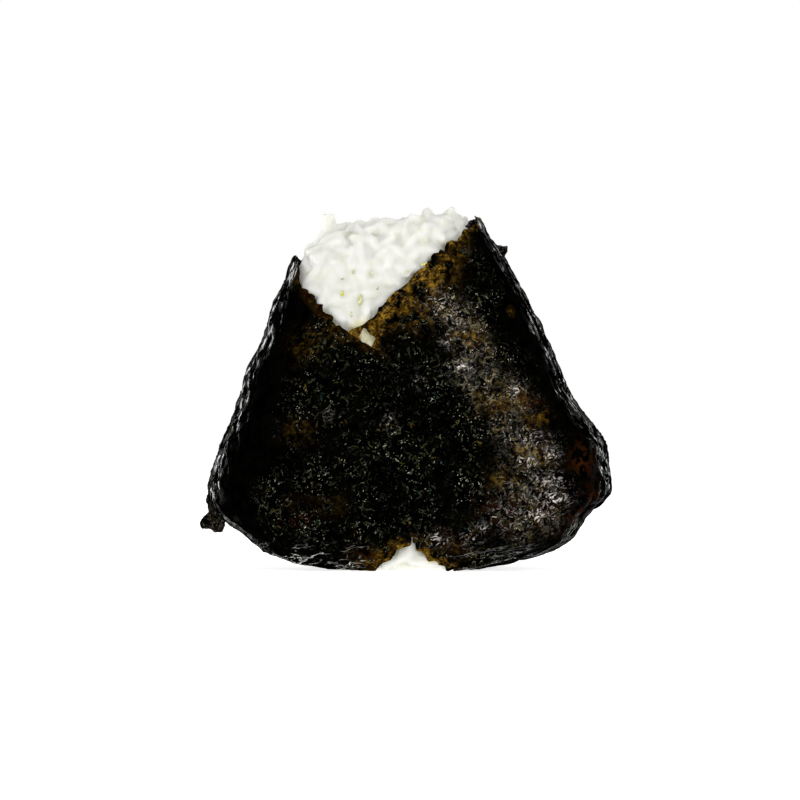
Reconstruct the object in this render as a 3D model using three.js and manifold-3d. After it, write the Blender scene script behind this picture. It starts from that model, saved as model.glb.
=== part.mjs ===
// An onigiri: a hand-pressed triangle of rice, wrapped in one folded half sheet of nori.
// Millimetres, +Z up, front towards -Y. It stands on a small flat base at z = 0.
import * as THREE from "three";
import { mergeVertices } from "three/addons/utils/BufferGeometryUtils.js";
import Module from "manifold-3d";

const wasm = await Module();
wasm.setup();

// The outside of the wrapped body. Widths are half widths at a level, from the middle plane x = 0.
const SHOULDER_Z = 20.5;
const SHOULDER_HALF_WIDTH = 45;
const FLAT_HALF_WIDTH = 12;
const LEFT_SLOPE = { atShoulder: 43.8, perMm: 0.38, blend: 2 };
const RIGHT_SLOPE = { atShoulder: 45.3, perMm: 0.515, blend: 3 };
const RIGHT_LIP = { z: 27.5, height: 1.6, halfHeight: 4 };
const HALF_DEPTH = 18.5;
const FLAT_HALF_DEPTH = 8;
const BASE_ROUNDING = 12;
const DEPTH_TAPER = { atFloor: 21.4, perMm: 0.1, blend: 1.5 };
const SECTION_POWER = 3;
const RICE_TOP_Z = 78.2;
const RICE_CROWN_Z = 64;
const CROWN_POWER = 3.5;

// The sheet and the layers under it, as distances in from the outside.
const SHEET = 0.5;
const GAP = 0.3;
const LAP = 0.4;
const RICE_INSET = SHEET + GAP;
const BLANK_TOP_Z = 82;

// Where the sheet's edges lie, seen from the front: x and z.
const LEFT_TIP = [-24.6, 68.3];
const RIGHT_TIP = [15.2, 76.7];
const CROSSING = [-12.8, 51.8];
const LEFT_FLAP_CORNER = [13.6, 34.4];
const RIGHT_FLAP_CORNER = [-34, 37];
const GAP_APEX = [0.6, 6.8];
const GAP_LEFT_FOOT = [-8.6, -1];
const GAP_RIGHT_FOOT = [11.4, -1];
const GAP_REACH_Y = -6;
const TEAR = [[-10.8, 50.9], [-8.9, 52.2], [-7, 49.3], [-7.9, 48.4]];
const EDGE_WAVE = { height: 0.45, length: 7.3, step: 3.2 };
const WIDE = 60;

// Small pieces of the sheet that stand proud, as outlines in x and z.
const TAG = [[-43.6, 14.4], [-43.9, 12.4], [-45.7, 11.2], [-45.5, 9.3], [-43.2, 8.1], [-40.4, 8.4],
  [-39.8, 10.4], [-41.4, 11.9], [-42.1, 14.2]];
const TAG_Y = -3.4;
const TAG_THICKNESS = 1.6;
const CURL = [[18.2, 71.4], [20.2, 70.6], [21.5, 69.6], [20.9, 68.2], [21.4, 66.2], [20, 66.6]];
const CURL_Y = -4.2;
const CURL_THICKNESS = 1.4;

// Faceting.
const COLUMNS = 52;
const BASE_RINGS = 8;
const SLOPE_RINGS = 10;
const CROWN_RINGS = 9;

// The rice's lumps, where it is bare.
const LUMP = { height: 0.8, length: 7.6, fadeFrom: 2.6, fadeTo: 5 };

const RICE = { color: 0xeeefe6, roughness: 0.5, metalness: 0 };
const NORI = { color: 0x0d0f0a, roughness: 0.45, metalness: 0 };

function softMin(a, b, blend) {
  return (a + b - Math.hypot(a - b, blend)) / 2;
}

function quarterRound(z, radius, inset) {
  const depth = Math.max(0, radius - z) / (radius - inset);
  return Math.sqrt(Math.max(0, 1 - depth * depth));
}

function halfWidth(z, slope, inset) {
  const swell = SHOULDER_HALF_WIDTH - FLAT_HALF_WIDTH - inset;
  const round = FLAT_HALF_WIDTH + swell * quarterRound(z, SHOULDER_Z, inset);
  const line = slope.atShoulder - slope.perMm * (z - SHOULDER_Z) - inset;
  return softMin(round, line, slope.blend);
}

function lip(z) {
  const away = (z - RIGHT_LIP.z) / RIGHT_LIP.halfHeight;
  return RIGHT_LIP.height * Math.exp(-away * away);
}

function halfDepth(z, inset) {
  const swell = HALF_DEPTH - FLAT_HALF_DEPTH - inset;
  const round = FLAT_HALF_DEPTH + swell * quarterRound(z, BASE_ROUNDING, inset);
  const line = DEPTH_TAPER.atFloor - DEPTH_TAPER.perMm * z - inset;
  return softMin(round, line, DEPTH_TAPER.blend);
}

// A point of the body's level section: a rounded rectangle whose left and right halves differ.
function sectionPoint(turn, z, inset, shrink) {
  const cos = Math.cos(turn);
  const sin = Math.sin(turn);
  const reach = (Math.abs(cos) ** SECTION_POWER + Math.abs(sin) ** SECTION_POWER) ** (-1 / SECTION_POWER);
  const right = halfWidth(z, RIGHT_SLOPE, inset) + lip(z);
  const width = cos > 0 ? right : halfWidth(z, LEFT_SLOPE, inset);
  return new THREE.Vector3(
    width * shrink * reach * cos,
    halfDepth(z, inset) * shrink * reach * sin,
    z,
  );
}

function crown(z) {
  const rise = Math.max(0, z - RICE_CROWN_Z) / (RICE_TOP_Z - RICE_CROWN_Z);
  return Math.max(0, 1 - rise ** CROWN_POWER) ** (1 / CROWN_POWER);
}

function baseLevels(inset) {
  const levels = [];
  for (let ring = 0; ring <= BASE_RINGS; ring += 1) {
    const angle = (ring / BASE_RINGS) * (Math.PI / 2);
    levels.push(SHOULDER_Z - (SHOULDER_Z - inset) * Math.cos(angle));
  }
  return levels;
}

function slopeLevels() {
  const levels = [];
  for (let ring = 1; ring <= SLOPE_RINGS; ring += 1) {
    levels.push(SHOULDER_Z + ((RICE_CROWN_Z - SHOULDER_Z) * ring) / SLOPE_RINGS);
  }
  return levels;
}

function crownLevels() {
  const levels = [];
  for (let ring = 1; ring <= CROWN_RINGS; ring += 1) {
    const angle = (ring / (CROWN_RINGS + 1)) * (Math.PI / 2);
    levels.push(RICE_CROWN_Z + (RICE_TOP_Z - RICE_CROWN_Z) * Math.sin(angle));
  }
  return levels;
}

// A closed body from its level rings, with a middle point under the first and over the last.
function ringedBody(rings, topZ) {
  const points = [new THREE.Vector3(0, 0, rings[0][0].z)];
  rings.forEach((ring) => points.push(...ring));
  points.push(new THREE.Vector3(0, 0, topZ));
  const last = points.length - 1;
  const index = [];
  const at = (ring, column) => 1 + ring * COLUMNS + (column % COLUMNS);
  for (let column = 0; column < COLUMNS; column += 1) {
    index.push(0, at(0, column + 1), at(0, column));
    index.push(last, at(rings.length - 1, column), at(rings.length - 1, column + 1));
    for (let ring = 0; ring + 1 < rings.length; ring += 1) {
      const low = at(ring, column);
      const lowNext = at(ring, column + 1);
      const high = at(ring + 1, column);
      const highNext = at(ring + 1, column + 1);
      index.push(low, lowNext, highNext, low, highNext, high);
    }
  }
  const geometry = new THREE.BufferGeometry().setFromPoints(points);
  geometry.setIndex(index);
  return geometry;
}

function ringAt(place) {
  const ring = [];
  for (let column = 0; column < COLUMNS; column += 1) {
    ring.push(place((column / COLUMNS) * 2 * Math.PI));
  }
  return ring;
}

// Signed distance of a front-view point above the line from a to b, which runs left to right.
function above(x, z, a, b) {
  const [dx, dz] = [b[0] - a[0], b[1] - a[1]];
  return ((z - a[1]) * dx - (x - a[0]) * dz) / Math.hypot(dx, dz);
}

// How far a point lies inside the bare rice at the top; negative where the sheet covers it.
function bareTop(point) {
  if (point.y > 0) {
    return above(point.x, point.z, LEFT_TIP, RIGHT_TIP);
  }
  const left = above(point.x, point.z, LEFT_TIP, CROSSING);
  const right = above(point.x, point.z, CROSSING, RIGHT_TIP);
  return Math.min(left, right);
}

// The same for the small gap at the foot of the front.
function bareFoot(point) {
  const left = -above(point.x, point.z, GAP_LEFT_FOOT, GAP_APEX);
  const right = -above(point.x, point.z, GAP_APEX, GAP_RIGHT_FOOT);
  return Math.min(left, right, GAP_REACH_Y - point.y);
}

function lumps(point) {
  const step = (2 * Math.PI) / LUMP.length;
  const across = Math.sin(point.x * step + 1.3 * Math.sin(point.z * step * 0.6));
  const along = Math.sin(point.z * step * 1.1 + point.y * step * 0.8 + 0.7);
  return 0.5 * (across + along);
}

// Rice stands a little proud of the sheet's level where it is bare, and is lumpy there.
function swollen(point) {
  const top = THREE.MathUtils.smoothstep(bareTop(point), LUMP.fadeFrom, LUMP.fadeTo);
  const foot = THREE.MathUtils.smoothstep(bareFoot(point), LUMP.fadeFrom, LUMP.fadeTo);
  const swell = top * (RICE_INSET + LUMP.height * lumps(point)) + foot * RICE_INSET * 0.8;
  const outward = new THREE.Vector3(point.x * 0.3, point.y, 0);
  outward.normalize();
  const lift = point.z > RICE_CROWN_Z ? crown(point.z) : 1;
  outward.multiplyScalar(swell * lift);
  outward.z = top * (1 - lift) * LUMP.height * lumps(point);
  return point.add(outward);
}

function riceBody() {
  const levels = [...baseLevels(RICE_INSET), ...slopeLevels(), ...crownLevels()];
  const rings = levels.map((z) => ringAt((turn) => swollen(sectionPoint(turn, z, RICE_INSET, crown(z)))));
  return ringedBody(rings, RICE_TOP_Z);
}

// The wrapped body's outside, or a surface parallel to it, left open-topped in shape: it runs on
// up past the rice, where the sheet's edges cut it off.
function blank(inset) {
  const levels = [...baseLevels(inset), ...slopeLevels()];
  levels.push((RICE_CROWN_Z + BLANK_TOP_Z) / 2, BLANK_TOP_Z - inset);
  const rings = levels.map((z) => ringAt((turn) => sectionPoint(turn, z, inset, 1)));
  return ringedBody(rings, BLANK_TOP_Z - inset);
}

function toSolid(geometry) {
  const bare = geometry.clone();
  bare.deleteAttribute("normal");
  bare.deleteAttribute("uv");
  const merged = mergeVertices(bare, 1e-5);
  const vertProperties = new Float32Array(merged.attributes.position.array);
  const triVerts = new Uint32Array(merged.index.array);
  return new wasm.Manifold(new wasm.Mesh({ numProp: 3, vertProperties, triVerts }));
}

function toGeometry(solid) {
  const mesh = solid.getMesh();
  const geometry = new THREE.BufferGeometry();
  geometry.setAttribute("position", new THREE.BufferAttribute(new Float32Array(mesh.vertProperties), 3));
  geometry.setIndex(new THREE.BufferAttribute(new Uint32Array(mesh.triVerts), 1));
  geometry.computeVertexNormals();
  return geometry;
}

// A prism with a front-view outline, from nearY back to farY.
function prism(outline, nearY, farY) {
  const shape = new THREE.Shape(outline.map(([x, z]) => new THREE.Vector2(x, z)));
  const geometry = new THREE.ExtrudeGeometry(shape, { depth: farY - nearY, bevelEnabled: false });
  geometry.rotateX(Math.PI / 2);
  geometry.translate(0, farY, 0);
  return toSolid(geometry);
}

// The points of a sheet edge from a to b, without b, with the sheet's slight waver.
function waveringEdge(a, b) {
  const length = Math.hypot(b[0] - a[0], b[1] - a[1]);
  const steps = Math.max(1, Math.round(length / EDGE_WAVE.step));
  const across = [-(b[1] - a[1]) / length, (b[0] - a[0]) / length];
  const points = [];
  for (let step = 0; step < steps; step += 1) {
    const along = (length * step) / steps;
    const fade = Math.sin((Math.PI * step) / steps);
    const off = EDGE_WAVE.height * fade * Math.sin((2 * Math.PI * along) / EDGE_WAVE.length + a[0]);
    points.push([
      a[0] + ((b[0] - a[0]) * step) / steps + across[0] * off,
      a[1] + ((b[1] - a[1]) * step) / steps + across[1] * off,
    ]);
  }
  return points;
}

function topOpening() {
  const high = BLANK_TOP_Z + 10;
  const lid = [[WIDE, RIGHT_TIP[1]], [WIDE, high], [-WIDE, high], [-WIDE, LEFT_TIP[1]]];
  const front = [...waveringEdge(LEFT_TIP, CROSSING), ...waveringEdge(CROSSING, RIGHT_TIP), RIGHT_TIP, ...lid];
  const back = [...waveringEdge(LEFT_TIP, RIGHT_TIP), RIGHT_TIP, ...lid];
  return prism(front, -WIDE, 0).add(prism(back, -0.01, WIDE));
}

function lappedDiamond() {
  const edge = [
    ...waveringEdge(CROSSING, LEFT_FLAP_CORNER),
    ...waveringEdge(LEFT_FLAP_CORNER, GAP_APEX),
    ...waveringEdge(GAP_APEX, RIGHT_FLAP_CORNER),
    ...waveringEdge(RIGHT_FLAP_CORNER, CROSSING),
  ];
  return prism(edge.reverse(), -WIDE, 0);
}

function noriSheet() {
  const lap = toSolid(blank(-LAP)).intersect(lappedDiamond());
  const tag = prism([...TAG].reverse(), TAG_Y - TAG_THICKNESS / 2, TAG_Y + TAG_THICKNESS / 2);
  const curl = prism([...CURL].reverse(), CURL_Y - CURL_THICKNESS / 2, CURL_Y + CURL_THICKNESS / 2);
  const outside = toSolid(blank(0)).add(lap).add(tag).add(curl);
  const footGap = prism([GAP_LEFT_FOOT, GAP_RIGHT_FOOT, GAP_APEX], -WIDE, GAP_REACH_Y);
  const tear = prism([...TEAR].reverse(), -WIDE, 0);
  const sheet = outside.subtract(toSolid(blank(SHEET))).subtract(topOpening());
  return sheet.subtract(footGap).subtract(tear);
}

function namedMesh(name, geometry, look) {
  const mesh = new THREE.Mesh(geometry, new THREE.MeshStandardMaterial(look));
  mesh.name = name;
  return mesh;
}

const onigiri = new THREE.Group();
onigiri.add(namedMesh("rice", riceBody(), RICE));
onigiri.add(namedMesh("nori", toGeometry(noriSheet()), NORI));

// The origin is the middle of the base of the whole box.
const box = new THREE.Box3().setFromObject(onigiri);
const middle = box.getCenter(new THREE.Vector3());
onigiri.position.set(-middle.x, -middle.y, -box.min.z);
onigiri.updateMatrixWorld(true);

export default onigiri;
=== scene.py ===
"""An onigiri: pressed white rice in a folded half sheet of nori, standing on its flat foot.

The body is worked out in millimetres from the same few sizes as the CAD solids, and every
finished mesh is in metres, in the CAD's own frame. Front is -Y, right is +X, up is +Z.
"""
import math
from itertools import product

import bmesh
import bpy
import numpy as np
from mathutils import Matrix, Vector, noise
from mathutils.kdtree import KDTree


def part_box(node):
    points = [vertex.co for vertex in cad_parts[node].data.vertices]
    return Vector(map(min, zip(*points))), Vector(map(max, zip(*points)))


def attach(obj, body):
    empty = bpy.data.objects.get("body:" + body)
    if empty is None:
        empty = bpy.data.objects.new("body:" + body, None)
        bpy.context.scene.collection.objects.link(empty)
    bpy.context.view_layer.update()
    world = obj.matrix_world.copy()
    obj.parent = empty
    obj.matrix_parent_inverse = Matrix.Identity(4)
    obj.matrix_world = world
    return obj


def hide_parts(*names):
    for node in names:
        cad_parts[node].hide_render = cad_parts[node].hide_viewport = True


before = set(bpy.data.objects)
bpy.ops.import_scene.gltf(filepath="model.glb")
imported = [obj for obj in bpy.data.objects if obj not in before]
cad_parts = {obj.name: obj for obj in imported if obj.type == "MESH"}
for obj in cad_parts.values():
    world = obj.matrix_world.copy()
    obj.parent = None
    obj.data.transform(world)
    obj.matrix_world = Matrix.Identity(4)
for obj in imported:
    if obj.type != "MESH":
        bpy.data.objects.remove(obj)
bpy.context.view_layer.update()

MM = 0.001

# The wrapped body: half widths and half depths at a level, in millimetres.
SHOULDER_Z = 20.5
SHOULDER_HALF_WIDTH = 45.0
FLAT_HALF_WIDTH = 12.0
LEFT_SLOPE = {"at_shoulder": 43.8, "per_mm": 0.38, "blend": 2.0}
RIGHT_SLOPE = {"at_shoulder": 45.3, "per_mm": 0.515, "blend": 3.0}
RIGHT_LIP = {"z": 27.5, "height": 1.6, "half_height": 4.0}
HALF_DEPTH = 18.5
FLAT_HALF_DEPTH = 8.0
BASE_ROUNDING = 12.0
DEPTH_TAPER = {"at_floor": 21.4, "per_mm": 0.1, "blend": 1.5}
SECTION_POWER = 3.0
RICE_TOP_Z = 78.2
RICE_CROWN_Z = 64.0
CROWN_POWER = 3.5

# Where the sheet's edges lie, seen from the front: x and z.
LEFT_TIP = (-24.6, 68.3)
LEFT_KNEE = (-23.6, 62.4)
LEFT_BEND = (-16.6, 53.9)
CROSSING = (-12.8, 52.0)
RIGHT_TIP = (15.2, 76.7)
LEFT_FLAP_CORNER = (13.6, 34.4)
GAP_APEX = (0.6, 7.8)
GAP_LEFT_FOOT = (-9.7, -1.0)
GAP_RIGHT_KNEE = (4.0, 3.4)
GAP_RIGHT_FOOT = (10.4, 0.6)
GAP_REACH_Y = -6.0
TEAR = ((-11.9, 51.8), (-9.4, 52.8), (-6.1, 48.9), (-7.3, 46.9))
EDGE_SAG = {"x": -8.8, "reach": 2.6, "depth": 1.0}

# The outline of the bare rice's top from the left: x and z.
TOP_LEVEL = ((-30, 71.5), (-23.5, 72.6), (-21, 75.0), (-18.5, 76.6), (-17, 76.2), (-7.5, 76.2),
             (-5, 76.6), (-0.9, 77.3), (3.3, 78.0), (30, 78.0))

# Small torn pieces of the sheet, seen from the front, and where they lie in y.
TAG = ((-43.4, 17.6), (-44.4, 15.2), (-43.7, 12.8), (-44.9, 11.7), (-45.7, 10.3), (-45.2, 8.9), (-43.6, 8.8),
       (-42.4, 8.1), (-40.7, 8.3), (-40.4, 9.6), (-39.6, 11.6), (-40.3, 12.2), (-41.2, 11.8), (-42.1, 12.5),
       (-42.5, 13.6), (-41.9, 14.8), (-40.8, 15.6), (-39.6, 16.4), (-40.4, 18.2))
TAG_Y = -3.4
CURL = ((17.6, 71.6), (19.9, 70.8), (21.3, 70.6), (21.4, 69.4), (20.6, 68.3), (21.5, 66.8),
        (21.9, 65.4), (19.8, 66.2))
CURL_Y = -4.2
TIP_BIT = ((12.2, 74.6), (13.0, 75.8), (14.5, 76.3), (15.0, 75.6), (13.8, 75.0), (13.3, 74.2))
TIP_BIT_Y = -10.6

# Heights, pitches and seeds of soft noise: the torn edge, the sheet's waves and the rice's lumps.
TORN_EDGE = ((0.4, 5.5, 4.0), (1.3, 2.1, 5.0), (0.8, 1.15, 6.0))
SHEET_WAVES = ((0.5, 15.0, 11), (0.24, 6.0, 12))
RICE_LUMPS = ((0.45, 9.0, 31), (0.25, 4.0, 32))

# The sheet.
SHEET_THICKNESS = 0.22
SHEET_INSET = 0.25
LAP = 0.27
FRONT_PITCH = 0.62
BACK_PITCH = 1.7
ROW_PITCH = 0.78
PITCH_BLUR = 60
PITCH_LEVEL_Z = 25.0
TURN_STEPS = 4001
BACK_SHARE = 0.55
LEFT_END_DEGREES = -64
RIGHT_END_DEGREES = -486
LEFT_FRONT_DEGREES = -90
RIGHT_FRONT_DEGREES = -450
SEAM_HALF_WIDTH = 9.0
MM_PER_RADIAN = 24.0
WELL_INSIDE = -5.0
WELL_OUTSIDE = 9.0
FOOT_RISE = 6.0
UNDER_EDGE = ((-19.6, 46.0), (-9.0, 2.0))
UNDER_FOOT = (-19.0, 14.0)

# The rice.
GRAIN_LENGTH = 6.2
GRAIN_WIDTH = 2.75
CORE_INSET = 2.6
BARE_INSET = 0.95
GRAIN_INSET = 1.35
GRAIN_SPACING = 2.2
GRAIN_TRIES = 16000
TOP_TRIES = 1400
HIDDEN_TRIES = 9000
HIDDEN_INSET = 1.2
HIDDEN_SPACING = 3.0
HIDDEN_REACH = 2.3
BLOCK_FLOOR_Z = 43.0
FUSING = 0.38

# The CAD's frame is centred on the whole box, and the body's middle plane is x = 0 here.
NORI_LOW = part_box("nori")[0]
TAG_REACH = -45.7
MIDDLE_X = NORI_LOW.x / MM - TAG_REACH


# --- the body


def soft_min(a, b, blend):
    return (a + b - np.hypot(a - b, blend)) / 2


def smooth(value, low, high):
    t = np.clip((value - low) / (high - low), 0.0, 1.0)
    return t * t * (3 - 2 * t)


def quarter_round(z, radius, inset):
    depth = np.maximum(0.0, radius - z) / (radius - inset)
    return np.sqrt(np.maximum(0.0, 1 - depth * depth))


def half_width(z, slope, inset):
    swell = SHOULDER_HALF_WIDTH - FLAT_HALF_WIDTH - inset
    rounded = FLAT_HALF_WIDTH + swell * quarter_round(z, SHOULDER_Z, inset)
    line = slope["at_shoulder"] - slope["per_mm"] * (z - SHOULDER_Z) - inset
    return soft_min(rounded, line, slope["blend"])


def half_depth(z, inset):
    swell = HALF_DEPTH - FLAT_HALF_DEPTH - inset
    rounded = FLAT_HALF_DEPTH + swell * quarter_round(z, BASE_ROUNDING, inset)
    line = DEPTH_TAPER["at_floor"] - DEPTH_TAPER["per_mm"] * z - inset
    return soft_min(rounded, line, DEPTH_TAPER["blend"])


def crown(z):
    rise = np.clip((z - RICE_CROWN_Z) / (RICE_TOP_Z - RICE_CROWN_Z), 0.0, 1.0)
    return np.maximum(0.0, 1 - rise**CROWN_POWER) ** (1 / CROWN_POWER)


def section_point(turn, z, inset, shrink=1.0):
    """Points of the body's level sections, as an array of x, y, z."""
    cos = np.cos(turn)
    sin = np.sin(turn)
    reach = (np.abs(cos) ** SECTION_POWER + np.abs(sin) ** SECTION_POWER) ** (-1 / SECTION_POWER)
    away = (z - RIGHT_LIP["z"]) / RIGHT_LIP["half_height"]
    right = half_width(z, RIGHT_SLOPE, inset) + RIGHT_LIP["height"] * np.exp(-away * away)
    width = np.where(cos > 0, right, half_width(z, LEFT_SLOPE, inset))
    x = width * shrink * reach * cos
    y = half_depth(z, inset) * shrink * reach * sin
    return np.stack([x, y, z + 0 * x], axis=-1)


def rise_to_z(rise, inset):
    """Level of a height parameter: millimetres along the meridian, 0 at the edge of the flat foot."""
    arc = SHOULDER_Z * math.pi / 2
    angle = np.clip(rise / arc, 0.0, 1.0) * math.pi / 2
    low = SHOULDER_Z - (SHOULDER_Z - inset) * np.cos(angle)
    return np.where(rise < arc, low, SHOULDER_Z + rise - arc)


def body_surface(turn, rise, inset, crowned=False):
    """The body's outside; below rise 0 it closes across the foot to a seam along x."""
    z = rise_to_z(rise, inset)
    shrink = crown(z) if crowned else 1.0
    points = section_point(turn, z, inset, shrink)
    under = np.clip(-rise / FLAT_HALF_DEPTH, 0.0, 1.0)
    seam_x = SEAM_HALF_WIDTH * np.cos(turn)
    points[..., 0] += (seam_x - points[..., 0]) * under
    points[..., 1] += (0.0 - points[..., 1]) * under
    return points


def surface_normals(turn, rise, inset, crowned=False):
    step = 0.01
    around = body_surface(turn + step, rise, inset, crowned) - body_surface(turn - step, rise, inset, crowned)
    up = body_surface(turn, rise + 0.3, inset, crowned) - body_surface(turn, rise - 0.3, inset, crowned)
    across = np.cross(around, up)
    length = np.linalg.norm(across, axis=-1, keepdims=True)
    return across / np.maximum(length, 1e-9)


def noise_at(points, pitch, seed=0.0):
    """Soft noise from -1 to 1 at each point; pitch is its size in millimetres, one or per axis."""
    scaled = np.asarray(points, float).reshape(-1, 3) / np.asarray(pitch, float)
    offset = Vector((seed * 7.13, seed * 3.71, seed * 5.37))
    values = [noise.noise(Vector(p) + offset) for p in scaled]
    return np.array(values).reshape(np.shape(points)[:-1])


def layered_noise(points, layers):
    """A sum of soft noises, each with its height, pitch and seed."""
    return sum(height * noise_at(points, pitch, seed) for height, pitch, seed in layers)


# --- the sheet's outline


def above(x, z, a, b):
    """Signed distance above the line from a to b, which runs left to right."""
    dx, dz = b[0] - a[0], b[1] - a[1]
    return ((z - a[1]) * dx - (x - a[0]) * dz) / math.hypot(dx, dz)


def outline_outside(x, z, outline):
    """Signed distance outside a closed outline of x and z."""
    nearest = np.full(np.shape(x), 1e9)
    inside = np.zeros(np.shape(x), bool)
    for (ax, az), (bx, bz) in zip(outline, outline[1:] + outline[:1]):
        dx, dz = bx - ax, bz - az
        share = np.clip(((x - ax) * dx + (z - az) * dz) / (dx * dx + dz * dz), 0.0, 1.0)
        nearest = np.minimum(nearest, np.hypot(x - ax - share * dx, z - az - share * dz))
        level = (z - az) / (dz if dz else 1e-9)
        inside ^= ((az > z) != (bz > z)) & (x < ax + dx * level)
    return np.where(inside, -nearest, nearest)


def left_top(x, z):
    """Signed distance above the left flap's bare edge, which bends twice on its way down."""
    edge = np.minimum(above(x, z, LEFT_TIP, LEFT_KNEE), above(x, z, LEFT_KNEE, LEFT_BEND))
    edge = np.minimum(edge, above(x, z, LEFT_BEND, LEFT_FLAP_CORNER))
    return np.maximum(edge, z - LEFT_TIP[1])


def right_top(x, z):
    """Signed distance above the right flap's bare edge, which sags beside the crossing."""
    away = (x - EDGE_SAG["x"]) / EDGE_SAG["reach"]
    return above(x, z, CROSSING, RIGHT_TIP) + EDGE_SAG["depth"] * np.exp(-away * away)


def left_flap_outside(x, z):
    side = -above(x, z, GAP_APEX, LEFT_FLAP_CORNER)
    foot = -above(x, z, GAP_LEFT_FOOT, GAP_APEX)
    return np.maximum(left_top(x, z), np.where(z > GAP_APEX[1], side, foot))


def right_flap_outside(x, z):
    under = -above(x, z, *UNDER_EDGE)
    foot = np.where(x < GAP_RIGHT_KNEE[0], -above(x, z, GAP_APEX, GAP_RIGHT_KNEE),
                    -above(x, z, GAP_RIGHT_KNEE, GAP_RIGHT_FOOT))
    foot = np.where(x < GAP_APEX[0], -above(x, z, UNDER_FOOT, GAP_APEX), foot)
    foot = np.where(x > GAP_RIGHT_FOOT[0], -WELL_OUTSIDE, foot)
    return np.maximum(np.maximum(right_top(x, z), foot), under)


def back_outside(x, z):
    return above(x, z, LEFT_TIP, RIGHT_TIP)


# --- grains


def bare_depth(point):
    """How far a point of the body lies inside the bare rice; negative under the sheet."""
    x, y, z = point
    if y > 0:
        return float(above(x, z, LEFT_TIP, RIGHT_TIP))
    opening = min(left_top(x, z), right_top(x, z))
    torn = 1.2 - outline_outside(np.array(x), np.array(z), TEAR)
    foot = min(-above(x, z, GAP_LEFT_FOOT, GAP_APEX), -above(x, z, GAP_APEX, GAP_RIGHT_FOOT), GAP_REACH_Y - y)
    return float(max(opening, torn, foot))


def scatter_on_body(rng, count, inset, spacing, wanted, rises, crowned):
    """Spots at least a spacing apart on a surface inside the body, with their normals."""
    turns = rng.uniform(0, 2 * math.pi, count)
    heights = rng.uniform(*rises, count)
    spots = body_surface(turns, heights, inset, crowned)
    normals = surface_normals(turns, heights, inset, crowned)
    cells = {}
    kept = []
    for spot, normal in zip(spots, normals):
        if not wanted(spot) or not np.isfinite(normal).all():
            continue
        key = tuple((spot // spacing).astype(int))
        near = []
        for i, j, k in product((-1, 0, 1), repeat=3):
            near += cells.get((key[0] + i, key[1] + j, key[2] + k), [])
        if all(np.linalg.norm(spot - other) >= spacing for other in near):
            cells.setdefault(key, []).append(spot)
            kept.append((spot, normal))
    return kept


def lying_frame(rng, normal, tilt):
    """A frame whose first axis lies along the surface in a random direction, tipped a little."""
    normal = Vector(normal).normalized()
    along = normal.orthogonal().normalized()
    along.rotate(Matrix.Rotation(rng.uniform(0, 2 * math.pi), 3, normal))
    side = normal.cross(along).normalized()
    tip = Matrix.Rotation(rng.uniform(-tilt, tilt), 3, side)
    along.rotate(tip)
    side = normal.cross(along).normalized()
    return along, side, along.cross(side).normalized()


def hidden_grains():
    """The grains that press against the sheet from inside, as a centre and a direction."""
    rng = np.random.default_rng(7)
    spots = scatter_on_body(rng, HIDDEN_TRIES, HIDDEN_INSET, HIDDEN_SPACING,
                            lambda spot: True, (-6, 88), False)
    return [(spot, np.array(lying_frame(rng, normal, 0.15)[0])) for spot, normal in spots]


def grain_bumps(points, grains):
    """Height from 0 to 1 that the nearest hidden grains push up at each point."""
    tree = KDTree(len(grains))
    for number, (spot, _) in enumerate(grains):
        tree.insert(Vector(spot), number)
    tree.balance()
    half = GRAIN_LENGTH / 2 - GRAIN_WIDTH / 2
    heights = np.zeros(len(points))
    for i, point in enumerate(points):
        best = 0.0
        for _, number, _ in tree.find_n(Vector(point), 4):
            spot, along = grains[number]
            away = point - spot
            slide = min(half, max(-half, float(away @ along)))
            gap = np.linalg.norm(away - along * slide)
            best = max(best, 1.0 - (gap / HIDDEN_REACH) ** 2)
        heights[i] = best
    return heights


# --- mesh helpers


def in_scene(name, data):
    """A new object, put into the scene."""
    made = bpy.data.objects.new(name, data)
    bpy.context.scene.collection.objects.link(made)
    return made


def new_piece(name, data, node, finish):
    piece = in_scene(name, data)
    piece.data.materials.append(finish)
    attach(piece, "root")
    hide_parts(node)
    return piece


def to_frame(points):
    """Body millimetres to the CAD's frame in metres."""
    moved = np.array(points, float)
    moved[..., 0] += MIDDLE_X
    return moved * MM


def mesh_data(name, mesh):
    """A smooth-shaded mesh from a finished bmesh."""
    data = bpy.data.meshes.new(name)
    mesh.to_mesh(data)
    mesh.free()
    data.polygons.foreach_set("use_smooth", [True] * len(data.polygons))
    return data


def spots_of(mesh):
    return np.array([vert.co[:] for vert in mesh.verts])


def set_spots(mesh, points):
    """Moves a mesh's points to new places, given in body millimetres."""
    for vert, spot in zip(mesh.verts, to_frame(points)):
        vert.co = spot


# --- the nori sheet


def column_turns():
    """Turn angles of the sheet's columns, from the left flap's end round the back to the right's."""
    fine = np.linspace(math.radians(LEFT_END_DEGREES), math.radians(RIGHT_END_DEGREES), TURN_STEPS)
    line = section_point(fine, np.full(fine.shape, PITCH_LEVEL_Z), SHEET_INSET)
    steps = np.linalg.norm(np.diff(line, axis=0), axis=1)
    middle = (line[1:] + line[:-1]) / 2
    pitch = np.where(middle[:, 1] > HALF_DEPTH * BACK_SHARE, BACK_PITCH, FRONT_PITCH)
    window = 2 * PITCH_BLUR + 1
    pitch = np.convolve(np.pad(pitch, PITCH_BLUR, mode="edge"), np.ones(window) / window, mode="valid")
    count_at = np.concatenate([[0.0], np.cumsum(steps / pitch)])
    columns = int(count_at[-1])
    return np.interp(np.linspace(0, count_at[-1], columns), count_at, fine)


def row_rises():
    low, high = -FLAT_HALF_DEPTH, SHOULDER_Z * math.pi / 2 + (RIGHT_TIP[1] + 1.5 - SHOULDER_Z)
    return np.linspace(low, high, int((high - low) / ROW_PITCH))


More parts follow.
